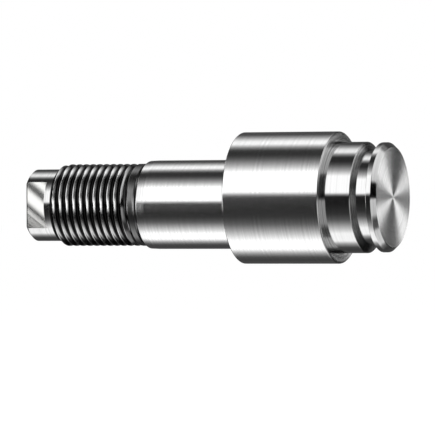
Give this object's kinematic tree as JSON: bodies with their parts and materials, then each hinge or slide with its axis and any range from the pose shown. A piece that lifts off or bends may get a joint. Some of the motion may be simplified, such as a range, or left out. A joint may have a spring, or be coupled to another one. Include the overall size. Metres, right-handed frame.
{
  "type": "eccentric anchor pin",
  "caption": "Turned steel anchor pin: flatted tip, threaded end, ground shank, offset larger body, journal, ring groove and chamfered collar.",
  "frame": {"origin": "on the axis of the shank, where the shank meets the shoulder of the body", "axes": "+X along the pin from the threaded end to the collar, +Z towards the side to which the body is offset, +Y across the wrench flats"},
  "size_m": [0.1095, 0.0376, 0.0375],
  "materials": {
    "turned_steel": "bright, finely turned and ground"
  },
  "bodies": {
    "root": {"anchor_pin": "turned_steel"}
  },
  "joints": []
}
